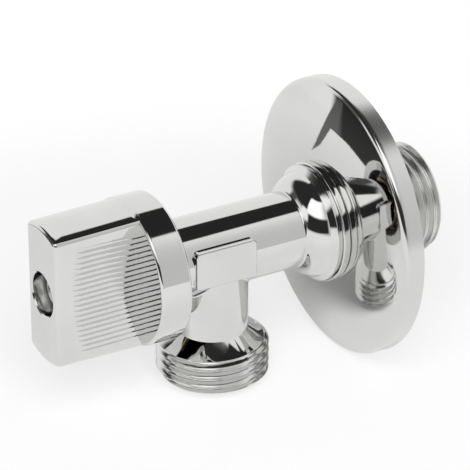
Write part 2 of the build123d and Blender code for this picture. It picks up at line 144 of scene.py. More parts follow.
# Handle
COLLAR_R = HANDLE_HIGH.x
COLLAR_REAR = HANDLE_HIGH.y
COLLAR_FRONT = -46.6 * MM
COLLAR_RIM = 0.6 * MM
COLLAR_REAR_EDGE = 0.5 * MM
HOLLOW_R = 10.6 * MM
HOLLOW_FLOOR = -45.6 * MM
HANDLE_FRONT = HANDLE_LOW.y
PADDLE_FRONT_R = 13.4 * MM
PADDLE_ROOT_R = COLLAR_R - 0.06 * MM
PADDLE_FLAT = 5.45 * MM
FLAT_MARGIN = 0.001 * MM
PADDLE_EDGE = 1.0 * MM
PADDLE_FRONT_EDGE = 0.8 * MM
PADDLE_ROOT_DEPTH = 0.6 * MM
RECESS_R = 4.1 * MM
RECESS_EDGE = 0.25 * MM
SCREW_SEAT = -58.5 * MM
SCREW_HOLE_R = 2.05 * MM
SOCKET_END = -56.0 * MM
SOCKET_R = 4.05 * MM

# Polish of the chrome and where it changes, and painted shade in the handle's hollow
CHROME_GLOSS = (0.025, 0.055)
CHROME_GRAIN = 2500.0
TAIL_DULLNESS = 0.2
OUTLET_DULLNESS = 0.08
SKIRT_DULLNESS = 0.18
SKIRT_FADE = 0.3 * MM
SKIRT_MARGIN = 0.02 * MM
RECESS_DULLNESS = 0.09
# Painted shade: inside the handle's hollow the chrome's colour is darkened nearly to black
HOLLOW_PAINTED_SHADE = 0.85
PAINTED_SHADE_COLOUR = (0.02, 0.02, 0.02, 1.0)
ZONE_MARGIN = 0.01 * MM
NOISE_MIDDLE = (0.3, 0.7)
GRAIN_IN_GLOSS = 0.35
GRAIN_IN_RELIEF = 0.3
RELIEF_DEPTH = 0.1 * MM

# Studio, with lengths in metres
FLOOR_HALF = 0.3
FLOOR_GAP = 0.1 * MM
FLOOR_ROUGHNESS = 0.9
GLOW_SEEN = 0.7  # how much of its own light the floor shows the camera
GLOW_NEAR = 0.1  # and the chrome, close to the valve
GLOW_FAR = 0.75  # and this much more, further out
GLOW_START, GLOW_END = 0.06, 0.16
FADE_START, FADE_END = 0.24, 0.29
CAMERA_FADE_LEAD = 0.16  # the floor fades nearer to the valve for the camera
SHEET_BLACK = 0.05
SHEET_GREY_RISE = 0.13
SHEET_GREY_START, SHEET_GREY_END = -14 * MM, 4 * MM
ROOM_ON_MATT = 0.6  # the room's share of light on the floor and other dull faces
LAMP_SIZE = 0.6
LAMP_PLACE = (0.55, -0.3, 0.5)
NEAR_CLIP = 0.01


def length_property(name, description, default):
    return FloatProperty(name=name, description=description, default=default, unit="LENGTH", precision=6)


def colour_property(name, description, default):
    return FloatVectorProperty(
        name=name, description=description, default=default, subtype="COLOR", size=3, min=0.0, max=1.0
    )


class ThreadSizes(PropertyGroup):
    """The pipe thread on the inlet tail and on the outlet"""

    pitch: length_property("Pitch", "From one crest to the next", 1.814 * MM)
    depth: length_property("Depth", "From crest to root", 1.08 * MM)
    crest_drop: length_property("Crest drop", "How far the crests lie inside the plain thread diameter", 0.012 * MM)
    rows_per_turn: IntProperty(name="Rows per turn", description="Mesh rows on one pitch", default=14, min=6)


class GripSizes(PropertyGroup):
    """The rows of grooves on the two flats of the handle"""

    pitch: length_property("Pitch", "Between neighbouring grooves", 1.04 * MM)
    cutter_radius: length_property("Cutter radius", "Roundness of a groove", 0.9 * MM)
    depth: length_property("Depth", "Depth of a groove", 0.16 * MM)
    edge_margin: length_property("Edge margin", "Smooth band above and below", 2.3 * MM)
    front_margin: length_property("Front margin", "Smooth band behind the front", 2.2 * MM)
    front_arc: length_property("Front arc", "Outer grooves start later by this", 1.2 * MM)
    fade: length_property("Fade", "Taper of the cutter's tip", 14.0 * MM)
    rear_run: length_property("Rear run", "The cutter lifts over this length", 5.0 * MM)
    rear_lift: length_property("Rear lift", "How far it lifts at the collar", 0.06 * MM)


class FinishColours(PropertyGroup):
    """Colours of the finishes"""

    chrome: colour_property("Chrome", "Plated chrome", (0.71, 0.71, 0.697))
    chrome_shade: colour_property("Chrome shade", "Slightly duller plating", (0.67, 0.67, 0.658))
    steel: colour_property("Steel", "Screw steel", (0.88, 0.88, 0.86))
    # Brass's own colour darkened well below its real tone: painted shade of the hollow it sits in
    brass: colour_property("Brass", "Turned brass", (0.3, 0.24, 0.15))
    fibre: colour_property("Fibre", "Pressed fibre gasket", (0.42, 0.13, 0.08))
    plastic: colour_property("Slip plastic", "Low-friction washer", (0.86, 0.85, 0.80))
    rubber: colour_property("Rubber", "Black rubber", (0.025, 0.025, 0.027))
    ceramic: colour_property("Ceramic", "Ceramic discs", (0.88, 0.87, 0.83))


class StudioSettings(PropertyGroup):
    """Floor, light and camera"""

    floor: colour_property("Floor", "Pale floor", (0.9, 0.9, 0.9))
    surround: FloatProperty(name="Surround", description="Brightness of the white room", default=1.0, min=0.0)
    lamp_power: FloatProperty(
        name="Lamp power", description="Soft lamp on the right", default=7.6, min=0.0, unit="POWER"
    )
    lens: FloatProperty(name="Lens", description="Camera's focal length in mm", default=246.1, min=1.0)
    camera_place: FloatVectorProperty(
        name="Camera place",
        description="Where the camera stands",
        default=(0.44844, -0.27941, 0.27686),
        subtype="TRANSLATION",
        size=3,
    )
    camera_target: FloatVectorProperty(
        name="Camera target",
        description="The point in the middle of the picture",
        default=(0.00101, -0.02474, 0.00221),
        subtype="TRANSLATION",
        size=3,
    )


# Meshes


def new_object(name, data):
    piece = bpy.data.objects.new(name, data)
    bpy.context.scene.collection.objects.link(piece)
    return piece


def join_rings(shape, ring, following):
    """Faces between two rings of vertices, either of which may be a single pole."""
    if len(ring) == 1 and len(following) == 1:
        return
    count = max(len(ring), len(following))
    for k in range(count):
        after = (k + 1) % count
        if len(ring) == 1:
            shape.faces.new((ring[0], following[after], following[k]))
        elif len(following) == 1:
            shape.faces.new((ring[k], ring[after], following[0]))
        else:
            shape.faces.new((ring[k], ring[after], following[after], following[k]))


def write_out(shape, mesh):
    """Turns a closed shape's faces outwards and writes it into a mesh."""
    bmesh.ops.recalc_face_normals(shape, faces=shape.faces)
    shape.to_mesh(mesh)
    shape.free()


def finished_object(name, shape):
    mesh = bpy.data.meshes.new(name)
    write_out(shape, mesh)
    return new_object(name, mesh)


def turned(name, profile, segments=TURN_SEGMENTS, solid=True):
    """A shape turned about the inlet axis, from (radius, y) points, filled to the axis where it is solid."""
    if solid:
        profile = [(0, profile[0][1]), *profile, (0, profile[-1][1])]
    shape = bmesh.new()
    rings = []
    for radius, along in profile:
        if radius < POLE_RADIUS:
            rings.append([shape.verts.new((0, along, 0))])
            continue
        ring = []
        for k in range(segments):
            angle = 2 * math.pi * k / segments
            ring.append(shape.verts.new((radius * math.cos(angle), along, radius * math.sin(angle))))
        rings.append(ring)
    for ring, following in zip(rings, rings[1:] + rings[:1]):
        join_rings(shape, ring, following)
    return finished_object(name, shape)


def lofted(name, sections, closed=False):
    """A closed solid through sections with equal numbers of points, capped or joined end to end."""
    shape = bmesh.new()
    rows = [[shape.verts.new(point) for point in section] for section in sections]
    for row, following in zip(rows, rows[1:]):
        join_rings(shape, row, following)
    if closed:
        join_rings(shape, rows[-1], rows[0])
    else:
        shape.faces.new(rows[0])
        shape.faces.new(rows[-1])
    return finished_object(name, shape)


def arc(centre, radius, start, end, steps):
    """Points on an arc in a section, with angles in degrees from the radius towards y."""
    points = []
    for step in range(steps + 1):
        angle = math.radians(start + (end - start) * step / steps)
        points.append((centre[0] + radius * math.cos(angle), centre[1] + radius * math.sin(angle)))
    return points


def down_the_outlet():
    """Carries a shape turned about the inlet axis onto the outlet axis, with y becoming z."""
    return Matrix.Translation((0, OUTLET_Y, 0)) @ Matrix.Rotation(math.radians(90), 4, "X")


def turned_down(name, profile):
    """A solid turned about the outlet axis, from (radius, z) points."""
    piece = turned(name, profile)
    piece.data.transform(down_the_outlet())
    return piece


def settle(piece):
    """Makes the modifiers' result the piece's own plain mesh."""
    depsgraph = bpy.context.evaluated_depsgraph_get()
    mesh = bpy.data.meshes.new_from_object(piece.evaluated_get(depsgraph))
    old = piece.data
    piece.modifiers.clear()
    piece.data = mesh
    mesh.name = piece.name
    bpy.data.meshes.remove(old)


def combine(base, tool, operation):
    """Joins the tool to the base, or cuts it away."""
    step = base.modifiers.new("combine", "BOOLEAN")
    step.operation = operation
    step.solver = "EXACT"
    step.object = tool
    settle(base)
    bpy.data.meshes.remove(tool.data)
    if not base.data.polygons:
        raise RuntimeError(f"{base.name} was lost while its pieces were combined")


def polish(piece):
    """Smooth shading that keeps true edges sharp and broad faces flat."""
    piece.data.shade_smooth()
    piece.data.set_sharp_from_angle(angle=SHARP_ANGLE)
    weighting = piece.modifiers.new("broad faces", "WEIGHTED_NORMAL")
    weighting.keep_sharp = True
    settle(piece)


def dress(piece, material, body, slot, *nodes):
    """Gives a finished piece its material and its body, and hides the solids it stands for."""
    piece.data.materials.clear()
    piece.data.materials.append(material)
    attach(piece, body)
    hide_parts(*nodes)


# Node trees

# Sockets that hold something other than a plain number
SOCKET_TYPES = {
    "Geometry": "NodeSocketGeometry",
    "Material": "NodeSocketMaterial",
    "Columns": "NodeSocketInt",
    "Rows": "NodeSocketInt",
    "Rows Per Turn": "NodeSocketInt",
    "Vector": "NodeSocketVector",
    "Colour": "NodeSocketColor",
    "Shade": "NodeSocketColor",
}


def feed(tree, socket, value):
    """Links a socket to another one, or sets its number."""
    if isinstance(value, bpy.types.NodeSocket):
        tree.links.new(value, socket)
    else:
        socket.default_value = value


def new_node(tree, kind, values):
    """A node with its inputs fed, by name or by number."""
    node = tree.nodes.new(kind)
    for key, value in values.items():
        feed(tree, node.inputs[key], value)
    return node


def calculate(tree, operation, *values):
    node = new_node(tree, "ShaderNodeMath", dict(enumerate(values)))
    node.operation = operation
    return node.outputs[0]


def clamped(tree, value, low=0.0, high=1.0):
    return calculate(tree, "MINIMUM", calculate(tree, "MAXIMUM", value, low), high)


def map_range(tree, value, source, target=(0.0, 1.0), easing="LINEAR"):
    """A value taken from one range to another."""
    labels = ("Value", "From Min", "From Max", "To Min", "To Max")
    node = new_node(tree, "ShaderNodeMapRange", dict(zip(labels, (value, *source, *target))))
    node.interpolation_type = easing
    return node.outputs[0]


def ramp(tree, value, start, end, height):
    """Zero below the start, rising softly to the height at the end."""
    return map_range(tree, value, (start, end), (0.0, height), "SMOOTHSTEP")


def axes_of(tree, vector):
    """The x, y and z of a vector."""
    return new_node(tree, "ShaderNodeSeparateXYZ", {0: vector}).outputs


def vector_of(tree, x=0.0, y=0.0, z=0.0):
    return new_node(tree, "ShaderNodeCombineXYZ", {0: x, 1: y, 2: z}).outputs[0]


def node_group(name, kind, inputs, outputs):
    """An empty node group with named sockets, and its own input and output sockets."""
    group = bpy.data.node_groups.new(name, kind)
    for labels, way in ((inputs, "INPUT"), (outputs, "OUTPUT")):
        for label in labels:
            socket_type = SOCKET_TYPES.get(label, "NodeSocketFloat")
            group.interface.new_socket(label, in_out=way, socket_type=socket_type)
    return group, group.nodes.new("NodeGroupInput").outputs, group.nodes.new("NodeGroupOutput").inputs


def close_tree(tree, geometry, material, result):
    """Ends a geometry tree with plain geometry and its material."""
    realize = new_node(tree, "GeometryNodeRealizeInstances", {"Geometry": geometry})
    painted = {"Geometry": realize.outputs["Geometry"], "Material": material}
    feed(tree, result["Geometry"], new_node(tree, "GeometryNodeSetMaterial", painted).outputs["Geometry"])


def run_tree(piece, tree, settings, values):
    """Runs a tree with inputs set by name from the settings and the values, and keeps a plain mesh."""
    for name in settings.__annotations__:
        values[name.replace("_", " ").title()] = getattr(settings, name)
    modifier = piece.modifiers.new(tree.name, "NODES")
    modifier.node_group = tree
    for item in tree.interface.items_tree:
        if item.in_out == "INPUT" and item.name in values:
            modifier[item.identifier] = values[item.name]
    settle(piece)


def thread_tree():
    """A ring whose inside is a right-hand screw thread: cutting with it leaves the thread."""
    lengths = ("Start", "End", "Pitch", "Crest Radius", "Depth", "Outer Radius")
    counts = ("Columns", "Rows", "Rows Per Turn")
    inputs = ("Geometry", *lengths, *counts, "Material")
    tree, given, result = node_group("thread_ring", "GeometryNodeTree", inputs, ("Geometry",))
    calc = partial(calculate, tree)
    closing_rows = 3
    last_row = calc("ADD", given["Rows"], closing_rows)
    grid_sizes = {
        "Size X": 1.0,
        "Size Y": 1.0,
        "Vertices X": calc("ADD", given["Columns"], 1),
        "Vertices Y": calc("ADD", last_row, 1),
    }
    grid = new_node(tree, "GeometryNodeMeshGrid", grid_sizes)
    place = tree.nodes.new("GeometryNodeInputPosition")
    across, upward, _ = axes_of(tree, place.outputs[0])
    turn = calc("ADD", across, 0.5)
    row = calc("MULTIPLY", calc("ADD", upward, 0.5), last_row)

    # The rows follow the helix and are cut off at both ends, then come back along the outside of the ring
    past_end = calc("SUBTRACT", row, given["Rows"])
    turns = calc("SUBTRACT", calc("DIVIDE", row, given["Rows Per Turn"]), turn)
    along = calc("MULTIPLY_ADD", turns, given["Pitch"], given["Start"])
    along = clamped(tree, along, given["Start"], given["End"])
    way = calc("SUBTRACT", along, given["Start"])
    along = calc("MULTIPLY_ADD", way, calc("LESS_THAN", past_end, 1.5), given["Start"])
    turned_back = calc("GREATER_THAN", past_end, 0.5)
    on_outside = calc("MULTIPLY", turned_back, calc("LESS_THAN", past_end, 2.5))

    # One turn of the thread: a flank up, a rounded crest, a flank down and a rounded root
    gone = calc("SUBTRACT", along, given["Start"])
    phase = calc("FRACT", calc("ADD", calc("DIVIDE", gone, given["Pitch"]), turn))
    wave = calc("ABSOLUTE", calc("MULTIPLY_ADD", phase, 2.0, -1.0))
    drop = map_range(tree, wave, (-CREST_CUT, 1.0 + CREST_CUT), easing="SMOOTHERSTEP")
    drop = calc("MULTIPLY", drop, given["Depth"])
    thread = calc("SUBTRACT", given["Crest Radius"], drop)
    outward = calc("SUBTRACT", given["Outer Radius"], thread)
    radius = calc("MULTIPLY_ADD", on_outside, outward, thread)

    angle = calc("MULTIPLY", turn, 2 * math.pi)
    to_side = calc("MULTIPLY", radius, calc("COSINE", angle))
    to_top = calc("MULTIPLY", radius, calc("SINE", angle))
    spot = vector_of(tree, to_side, along, to_top)
    shift = new_node(tree, "GeometryNodeSetPosition", {"Geometry": grid.outputs["Mesh"], "Position": spot})
    unwelded = {"Geometry": shift.outputs["Geometry"], "Distance": WELD}
    weld = new_node(tree, "GeometryNodeMergeByDistance", unwelded)
    close_tree(tree, weld.outputs["Geometry"], given["Material"], result)
    return tree


def grip_tree():
    """Presses rows of round grooves into the two flats of the paddle."""
    rows = ("Pitch", "Row Offset", "Reach", "Cutter Radius", "Depth", "Flat")
    ends = ("Front", "Front Arc", "Fade", "Rear", "Rear Run", "Rear Lift")
    inputs = ("Geometry", *rows, *ends, "Material")
    tree, given, result = node_group("grip_grooves", "GeometryNodeTree", inputs, ("Geometry",))
    calc = partial(calculate, tree)
    place = tree.nodes.new("GeometryNodeInputPosition")
    across, along, height = axes_of(tree, place.outputs[0])

    # The nearest groove, and the distance from its middle line
    number = calc("SUBTRACT", calc("DIVIDE", height, given["Pitch"]), given["Row Offset"])
    number = calc("ADD", calc("ROUND", number), given["Row Offset"])
    middle = calc("MULTIPLY", number, given["Pitch"])
    aside = calc("SUBTRACT", height, middle)

    # The cutter grows from a point, and each groove starts on a shallow arc
    level = calc("DIVIDE", middle, given["Reach"])
    arc_shift = calc("MULTIPLY", calc("MULTIPLY", level, level), given["Front Arc"])
    start = calc("ADD", given["Front"], arc_shift)
    buried = calc("SUBTRACT", given["Cutter Radius"], given["Depth"])
    lead = calc("MULTIPLY", given["Fade"], calc("DIVIDE", buried, given["Cutter Radius"]))
    tip = calc("SUBTRACT", start, lead)
    growth = clamped(tree, calc("DIVIDE", calc("SUBTRACT", along, tip), given["Fade"]))
    cutter = calc("MULTIPLY", growth, given["Cutter Radius"])
    cutter_square = calc("MULTIPLY", cutter, cutter)
    square = calc("SUBTRACT", cutter_square, calc("MULTIPLY", aside, aside))

    # It lifts again before the collar
    to_rear = calc("DIVIDE", calc("SUBTRACT", along, given["Rear"]), given["Rear Run"])
    lift = clamped(tree, calc("ADD", to_rear, 1.0))
    held = calc("MULTIPLY_ADD", lift, given["Rear Lift"], buried)
    bite = calc("SUBTRACT", calc("SQRT", calc("MAXIMUM", square, 0.0)), held)
    bite = calc("MAXIMUM", bite, 0.0)

    # Only on the flats, between the margins
    on_flat = calc("GREATER_THAN", calc("ABSOLUTE", across), given["Flat"])
    in_reach = calc("LESS_THAN", calc("ABSOLUTE", middle), given["Reach"])
    bite = calc("MULTIPLY", bite, calc("MULTIPLY", on_flat, in_reach))
    outward = calc("MULTIPLY", bite, calc("SIGN", across))
    inward = vector_of(tree, calc("MULTIPLY", outward, -1.0))
    shift = new_node(tree, "GeometryNodeSetPosition", {"Geometry": given["Geometry"], "Offset": inward})
    close_tree(tree, shift.outputs["Geometry"], given["Material"], result)
    return tree


# Finishes


def noise(tree, vector, scale, detail):
    values = {"Vector": vector, "Scale": scale, "Detail": detail}
    return new_node(tree, "ShaderNodeTexNoise", values).outputs[0]


def spread(tree, value, low, high):
    """The middle of a noise's range spread between two values."""
    return map_range(tree, value, NOISE_MIDDLE, (low, high))


def blend_values(tree, share, first, second):
    return new_node(tree, "ShaderNodeMix", {0: share, 2: first, 3: second}).outputs[0]


def blend_colours(tree, share, first, second):
    node = new_node(tree, "ShaderNodeMix", {0: share, 6: first, 7: second})
    node.data_type = "RGBA"
    return node.outputs[2]


def surface_group():
    """Cloudy changes of colour and gloss, and a fine unevenness, over any finish, and painted shade where a zone
    asks for it.
    """
    name = "surface_variation"
    if name in bpy.data.node_groups:
        return bpy.data.node_groups[name]
    scales = ("Cloud Scale", "Grain Scale", "Gloss Low", "Gloss High", "Dullness", "Dimness")
    inputs = ("Vector", "Colour", "Shade", *scales)
    group, given, result = node_group(name, "ShaderNodeTree", inputs, ("Colour", "Roughness", "Height"))
    clouds = noise(group, given["Vector"], given["Cloud Scale"], detail=3.0)
    grain = noise(group, given["Vector"], given["Grain Scale"], detail=4.0)
    colour = blend_colours(group, spread(group, clouds, 0.0, 1.0), given["Colour"], given["Shade"])
    # Painted shade: the colour is darkened towards near black where the zone asks for it
    feed(group, result["Colour"], blend_colours(group, given["Dimness"], colour, PAINTED_SHADE_COLOUR))
    gloss = calculate(group, "MULTIPLY_ADD", calculate(group, "SUBTRACT", grain, 0.5), GRAIN_IN_GLOSS, clouds)
    gloss = spread(group, gloss, given["Gloss Low"], given["Gloss High"])
    feed(group, result["Roughness"], calculate(group, "ADD", gloss, given["Dullness"]))
    feed(group, result["Height"], calculate(group, "MULTIPLY_ADD", grain, GRAIN_IN_RELIEF, clouds))
    return group


def new_material(name):
    """A material, its node tree and its surface shader."""
    material = bpy.data.materials.new(name)
    material.use_nodes = True
    return material, material.node_tree, material.node_tree.nodes["Principled BSDF"]


def own_place(tree):
    """Where a point lies on its piece."""
    return tree.nodes.new("ShaderNodeTexCoord").outputs["Object"]


def finish(name, colour, shade, metallic, gloss, clouds, grain, relief, dull_zone=None, painted_shade_zone=None):
    """A procedural material: cloudy colour and gloss, a fine relief, and on some pieces a duller zone and a zone of
    painted shade.
    """
    material, tree, surface = new_material(name)
    place = own_place(tree)
    variation = tree.nodes.new("ShaderNodeGroup")
    variation.node_tree = surface_group()
    values = [place, (*colour, 1.0), (*shade, 1.0), clouds, grain, *gloss]
    for zone in (dull_zone, painted_shade_zone):
        values.append(zone(tree, place) if zone else 0.0)
    for socket, value in zip(variation.inputs, values):
        feed(tree, socket, value)
    unevenness = {"Strength": relief, "Distance": RELIEF_DEPTH, "Height": variation.outputs["Height"]}
    bump = new_node(tree, "ShaderNodeBump", unevenness)
    feed(tree, surface.inputs["Metallic"], metallic)
    feed(tree, surface.inputs["Base Color"], variation.outputs["Colour"])
    feed(tree, surface.inputs["Roughness"], variation.outputs["Roughness"])
    feed(tree, surface.inputs["Normal"], bump.outputs["Normal"])
    return material


def darker(colour, share):
    return tuple(channel * share for channel in colour)


def off_axis(tree, place):
    """Distance from the inlet axis, and the place along it."""
    calc = partial(calculate, tree)
    x, y, z = axes_of(tree, place)
    square = calc("MULTIPLY_ADD", z, z, calc("MULTIPLY", x, x))
    return calc("SQRT", square), y


def thread_zone(tree, place):
    """The inlet tail and the outlet thread are plated but not polished."""
    calc = partial(calculate, tree)
    _, y, z = axes_of(tree, place)
    tail = ramp(tree, y, FLANGE_REAR, INLET_THREAD_START, TAIL_DULLNESS)
    depth = calc("MULTIPLY", z, -1.0)
    outlet = ramp(tree, depth, -OUTLET_THREAD_TOP, OUTLET_CHAMFER - OUTLET_THREAD_TOP, OUTLET_DULLNESS)
    return calc("ADD", tail, outlet)


def skirt_zone(tree, place):
    """The rosette's skirt is duller than its dome."""
    radius, _ = off_axis(tree, place)
    return ramp(tree, radius, ROSETTE_R - SKIRT_FADE, ROSETTE_R - SKIRT_MARGIN, SKIRT_DULLNESS)


def hollow_painted_shade(tree, place):
    """Painted shade in the hollow behind the collar: the chrome's colour is darkened there."""
    calc = partial(calculate, tree)
    radius, along = off_axis(tree, place)
    inside = calc("LESS_THAN", radius, HOLLOW_R + ZONE_MARGIN)
    behind = calc("GREATER_THAN", along, (COLLAR_FRONT + HOLLOW_FLOOR) / 2)
    return calc("MULTIPLY", calc("MULTIPLY", inside, behind), HOLLOW_PAINTED_SHADE)


def recess_zone(tree, place):
    """The screw recess is as cast, not polished."""
    calc = partial(calculate, tree)
    radius, along = off_axis(tree, place)
    inside = calc("LESS_THAN", radius, RECESS_R + RECESS_EDGE + ZONE_MARGIN)
    ahead = calc("LESS_THAN", along, (SCREW_SEAT + SOCKET_END) / 2)
    return calc("MULTIPLY", calc("MULTIPLY", inside, ahead), RECESS_DULLNESS)


def chrome(name, clouds, relief, **zones):
    colours = bpy.context.scene.valve_colours
    return finish(
        name, colours.chrome, colours.chrome_shade, 1.0, CHROME_GLOSS, clouds, CHROME_GRAIN, relief, **zones
    )


# Operators


class VALVE_OT_body(Operator):
    """Builds the chromed body and cuts both pipe threads into it"""

    bl_idname = "valve.body"
    bl_label = "Body and threads"

    def outside(self):
        """Section of the tube, the bulge, the ridge, the flange, the shank and the inlet thread's blank."""
        start = math.radians(BULGE_START)
        end = math.radians(BULGE_END)
        foot_rise = BULGE_FOOT * (1 - math.cos(start))
        crown = (BULGE_R - TUBE_R - foot_rise) / (math.cos(end) - math.cos(start))
        join_y = BULGE_REAR - crown * (math.sin(start) - math.sin(end))
        foot_centre = (TUBE_R + BULGE_FOOT, join_y - BULGE_FOOT * math.sin(start))
        crown_centre = (TUBE_R + foot_rise - crown * math.cos(start), join_y + crown * math.sin(start))
        profile = [(TUBE_R, BODY_LOW.y)]
        profile += arc(foot_centre, BULGE_FOOT, 180, 180 - BULGE_START, steps=10)
        profile += arc(crown_centre, crown, -BULGE_START, -BULGE_END, steps=20)[1:]
        profile += arc((RIDGE_R - RIDGE_EDGE, RIDGE_FRONT + RIDGE_EDGE), RIDGE_EDGE, RIDGE_START, 0, steps=4)
        profile += arc((RIDGE_R - RIDGE_EDGE, RIDGE_REAR - RIDGE_EDGE), RIDGE_EDGE, 0, 90, steps=4)
        profile += [(GROOVE_R, RIDGE_REAR), (GROOVE_R, FLANGE_FRONT)]
        profile += arc((FLANGE_R - FLANGE_EDGE, FLANGE_FRONT + FLANGE_EDGE), FLANGE_EDGE, -90, 0, steps=5)
        profile += arc((FLANGE_R - FLANGE_EDGE, FLANGE_REAR - FLANGE_EDGE), FLANGE_EDGE, 0, 90, steps=5)
        profile += [
            (SHANK_R, FLANGE_REAR),
            (SHANK_R, INLET_THREAD_START - (THREAD_R - SHANK_R)),
            (THREAD_R, INLET_THREAD_START),
            (THREAD_R, BODY_HIGH.y - INLET_CHAMFER),
            (THREAD_R - INLET_CHAMFER, BODY_HIGH.y),
        ]
        return profile

    def neck(self):
        """The outlet neck with its shoulder and its thread's blank."""
        profile = [
            (NECK_R, 0),
            (NECK_R, SHOULDER_TOP),
            (NECK_R + SHOULDER_WIDTH, SHOULDER_TOP - SHOULDER_WIDTH * math.tan(SHOULDER_SLOPE)),
            (THREAD_R, OUTLET_THREAD_TOP),
            (THREAD_R, BODY_LOW.z + OUTLET_CHAMFER),
            (THREAD_R - OUTLET_CHAMFER, BODY_LOW.z),
        ]
        return turned_down("neck", profile)

    def neck_blend(self):
        """The rolled fillet between the neck and the tube, as a ring that reaches into both."""
        reach = NECK_BLEND - BLEND_SINK
        inside = 0.5 * MM
        steps = 10
        sections = []
        for k in range(TURN_SEGMENTS):
            angle = 2 * math.pi * k / TURN_SEGMENTS
            out = Vector((math.cos(angle), math.sin(angle), 0))
            side = (NECK_R + reach) * out
            drop = -math.sqrt((TUBE_R + reach) ** 2 - side.x**2)
            centre = Vector((side.x, side.y, drop))
            to_neck = -out
            to_tube = -Vector((centre.x, 0, centre.z)).normalized()
            leans = [to_neck.slerp(to_tube, step / steps) for step in range(steps + 1)]
            section = [centre + NECK_BLEND * lean for lean in leans]
            section.append(section[-1] + inside * to_tube)
            section.append(section[0] + inside * to_neck)
            sections.append([point + Vector((0, OUTLET_Y, 0)) for point in section])
        return lofted("neck_blend", sections, closed=True)

    def pad(self):
        """The flat boss with rounded corners and softened edges."""

        def outline(inset):
            half_length = PAD_LENGTH / 2 - PAD_CORNER
            half_height = PAD_HEIGHT / 2 - PAD_CORNER
            points = []
            corners = ((1, 1, 0), (-1, 1, 90), (-1, -1, 180), (1, -1, 270))
            for side_y, side_z, start in corners:
                centre = (PAD_CENTRE_Y + side_y * half_length, PAD_CENTRE_Z + side_z * half_height)
                points += arc(centre, PAD_CORNER - inset, start, start + 90, steps=8)
            return points

        layers = [(TUBE_R / 2, 0), (PAD_FACE - PAD_EDGE, 0)]
        edge_steps = 6
        for step in range(1, edge_steps + 1):
            angle = math.radians(90 * step / edge_steps)
            layers.append((PAD_FACE - PAD_EDGE * (1 - math.sin(angle)), PAD_EDGE * (1 - math.cos(angle))))
        return lofted("pad", [[(x, y, z) for y, z in outline(inset)] for x, inset in layers])

    def bore(self):
        """The headwork chamber, the seat and the inlet waterway."""
        profile = [
            (TUBE_BORE_R, BODY_LOW.y - OVERSHOOT),
            (TUBE_BORE_R, TUBE_BORE_END),
            (CHAMBER_R, TUBE_BORE_END),
            (CHAMBER_R, SEAT_Y),
            (SEAT_R, SEAT_Y),
            (SEAT_R, SEAT_END),
            (TAIL_BORE_R, SEAT_END + TAIL_BORE_R - SEAT_R),
            (TAIL_BORE_R, BODY_HIGH.y + OVERSHOOT),
        ]
        return turned("bore", profile)

    def waterway(self):
        """The bore that leads down to the outlet."""
        return turned_down("waterway", [(OUTLET_BORE_R, 0), (OUTLET_BORE_R, BODY_LOW.z - OVERSHOOT)])

    def thread_cutter(self, tree, start, end, material):
        sizes = bpy.context.scene.valve_thread
        ring = new_object("thread_cutter", bpy.data.meshes.new("thread_cutter"))
        values = {
            "Start": start,
            "End": end,
            "Crest Radius": THREAD_R - sizes.crest_drop,
            "Outer Radius": THREAD_R + 2 * OVERSHOOT,
            "Columns": TURN_SEGMENTS,
            "Rows": math.ceil(((end - start) / sizes.pitch + 1) * sizes.rows_per_turn),
            "Material": material,
        }
        run_tree(ring, tree, sizes, values)
        shape = bmesh.new()
        shape.from_mesh(ring.data)
        write_out(shape, ring.data)
        return ring

    def execute(self, context):
        material = chrome("body_chrome", clouds=90.0, relief=0.02, dull_zone=thread_zone)
        body = turned("chromed_body", self.outside())
        for addition in (self.neck(), self.neck_blend(), self.pad()):
            combine(body, addition, "UNION")
        for cut in (self.bore(), self.waterway()):
            combine(body, cut, "DIFFERENCE")
        tree = thread_tree()
        inlet = self.thread_cutter(tree, INLET_CUT_START, BODY_HIGH.y + OVERSHOOT, material)
        combine(body, inlet, "DIFFERENCE")
        outlet_cut_end = OUTLET_THREAD_TOP + OUTLET_CUT_MARGIN
        outlet = self.thread_cutter(tree, BODY_LOW.z - OVERSHOOT, outlet_cut_end, material)
        outlet.data.transform(down_the_outlet())
        combine(body, outlet, "DIFFERENCE")
        polish(body)
        dress(body, material, "body", "body_chrome", "valve_body")
        return {"FINISHED"}


class VALVE_OT_rosette(Operator):
    """Presses the chromed wall rosette"""

    bl_idname = "valve.rosette"
    bl_label = "Wall rosette"

    def dome(self, sheet, bend):
        """The arc of the dome at a depth in the sheet, and the bend that leads into the skirt."""
        run = ROSETTE_R - ROSETTE_HOLE_R
        radius = (run**2 + DOME_RISE**2) / (2 * DOME_RISE) - sheet
        centre = (ROSETTE_HOLE_R, ROSETTE_LOW.y + radius + sheet)
        bend_r = ROSETTE_R - sheet - bend
        bend_angle = math.acos((bend_r - ROSETTE_HOLE_R) / (radius - bend))
        bend_centre = (bend_r, centre[1] - (radius - bend) * math.sin(bend_angle))
        lean = math.degrees(bend_angle)
        points = arc(centre, radius, -90, -lean, steps=48)
        return points + arc(bend_centre, bend, -lean, 0, steps=8)[1:]

    def execute(self, context):
        front = self.dome(0, RIM_ROUND)
        back = self.dome(ROSETTE_SHEET, max(RIM_ROUND - ROSETTE_SHEET, ROSETTE_SHEET / 4))
        rim = [(ROSETTE_R, ROSETTE_HIGH.y), (ROSETTE_R - ROSETTE_SHEET, ROSETTE_HIGH.y)]
        piece = turned("chromed_rosette", front + rim + back[::-1], 2 * TURN_SEGMENTS, solid=False)
        polish(piece)
        material = chrome("rosette_chrome", clouds=60.0, relief=0.015, dull_zone=skirt_zone)
        dress(piece, material, "rosette", "rosette_chrome", "wall_rosette")
        return {"FINISHED"}


